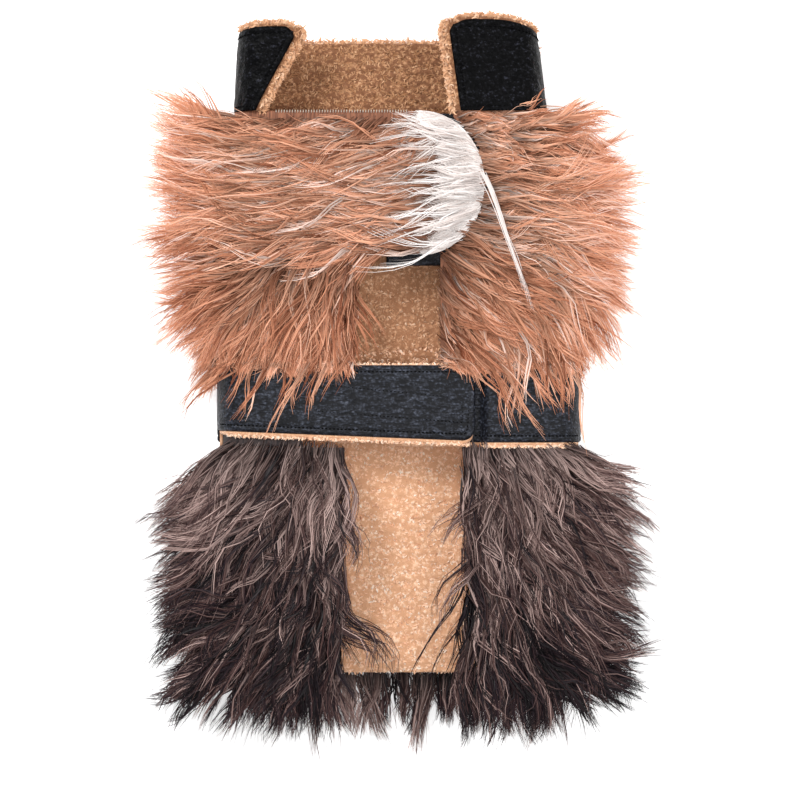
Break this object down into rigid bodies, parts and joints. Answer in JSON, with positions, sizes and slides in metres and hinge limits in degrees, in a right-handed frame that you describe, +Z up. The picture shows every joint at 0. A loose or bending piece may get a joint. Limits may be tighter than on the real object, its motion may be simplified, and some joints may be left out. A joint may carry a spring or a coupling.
{
  "type": "pet coat",
  "caption": "Dog's winter coat in long faux fur with a sherpa lining, a turn-up leather collar, a lapped chest flap and a leather waist belt.",
  "frame": {"origin": "middle of the coat's outline on the ground, under the folded coat", "axes": "+Z up from the ground the coat's back lies on, +Y from the hem to the collar, +X to the right of a viewer who faces the belly side with the collar up"},
  "size_m": [0.3664, 0.526, 0.056],
  "materials": {
    "camel_fur": "long soft faux fur, camel pink, silky strands",
    "white_fur": "extra long white faux fur",
    "brown_fur": "long dark brown faux fur with paler tips",
    "sherpa_lining": "curly sherpa fleece",
    "black_leather": "black pebbled leather, satin",
    "closure_tape": "woven hook and loop tape"
  },
  "bodies": {
    "body_back": {"back_upper_fur": "camel_fur", "back_lower_fur": "brown_fur", "back_upper_lining": "sherpa_lining", "back_lower_lining": "sherpa_lining", "back_fringe": "brown_fur", "belt_back_leather": "black_leather", "belt_back_lining": "sherpa_lining", "collar_back_leather": "black_leather", "collar_back_lining": "sherpa_lining", "chest_left_side_fur": "camel_fur", "chest_right_side_fur": "camel_fur", "skirt_left_side_fur": "brown_fur", "skirt_right_side_fur": "brown_fur"},
    "chest_left": {"chest_left_fur": "camel_fur", "flap_tip_fur": "white_fur", "chest_left_lining": "sherpa_lining", "chest_hook_tape": "closure_tape", "collar_left_leather": "black_leather", "collar_left_lining": "sherpa_lining"},
    "chest_right": {"chest_right_fur": "camel_fur", "chest_right_lining": "sherpa_lining", "underlap_leather": "black_leather", "chest_loop_tape": "closure_tape", "collar_right_leather": "black_leather", "collar_right_lining": "sherpa_lining"},
    "belt_left": {"belt_left_leather": "black_leather", "belt_left_lining": "sherpa_lining", "belt_hook_tape": "closure_tape", "waist_left_fur": "brown_fur", "waist_left_lining": "sherpa_lining"},
    "belt_right": {"belt_right_leather": "black_leather", "belt_right_lining": "sherpa_lining", "belt_loop_tape": "closure_tape", "waist_right_fur": "brown_fur", "waist_right_lining": "sherpa_lining"},
    "skirt_left": {"skirt_left_fur": "brown_fur", "skirt_left_lining": "sherpa_lining", "skirt_left_fringe": "brown_fur"},
    "skirt_right": {"skirt_right_fur": "brown_fur", "skirt_right_lining": "sherpa_lining", "skirt_right_fringe": "brown_fur"}
  },
  "joints": [
    {"name": "chest_left_fold", "type": "hinge", "parent": "body_back", "child": "chest_left", "pos_m": [-0.1242, 0.0186, 0.028], "axis": [-0.045, -0.999, 0], "range_deg": [0, 180], "deforming": ["chest_left_side_fur"]},
    {"name": "chest_right_fold", "type": "hinge", "parent": "body_back", "child": "chest_right", "pos_m": [0.1242, 0.0186, 0.028], "axis": [-0.112, 0.9937, 0], "range_deg": [0, 144], "deforming": ["chest_right_side_fur"]},
    {"name": "belt_left_fold", "type": "hinge", "parent": "body_back", "child": "belt_left", "pos_m": [-0.1282, -0.01, 0.028], "axis": [0, -1, 0], "range_deg": [0, 180]},
    {"name": "belt_right_fold", "type": "hinge", "parent": "body_back", "child": "belt_right", "pos_m": [0.1282, -0.01, 0.028], "axis": [0, 1, 0], "range_deg": [0, 144]},
    {"name": "skirt_left_fold", "type": "hinge", "parent": "body_back", "child": "skirt_left", "pos_m": [-0.1242, -0.12, 0.028], "axis": [0, -1, 0], "range_deg": [0, 180], "deforming": ["skirt_left_side_fur"]},
    {"name": "skirt_right_fold", "type": "hinge", "parent": "body_back", "child": "skirt_right", "pos_m": [0.1242, -0.12, 0.028], "axis": [0, 1, 0], "range_deg": [0, 180], "deforming": ["skirt_right_side_fur"]}
  ],
  "couplings": [
    {"joint": "chest_right_fold", "follows": "chest_left_fold", "ratio": 0.8},
    {"joint": "belt_right_fold", "follows": "belt_left_fold", "ratio": 0.8}
  ]
}
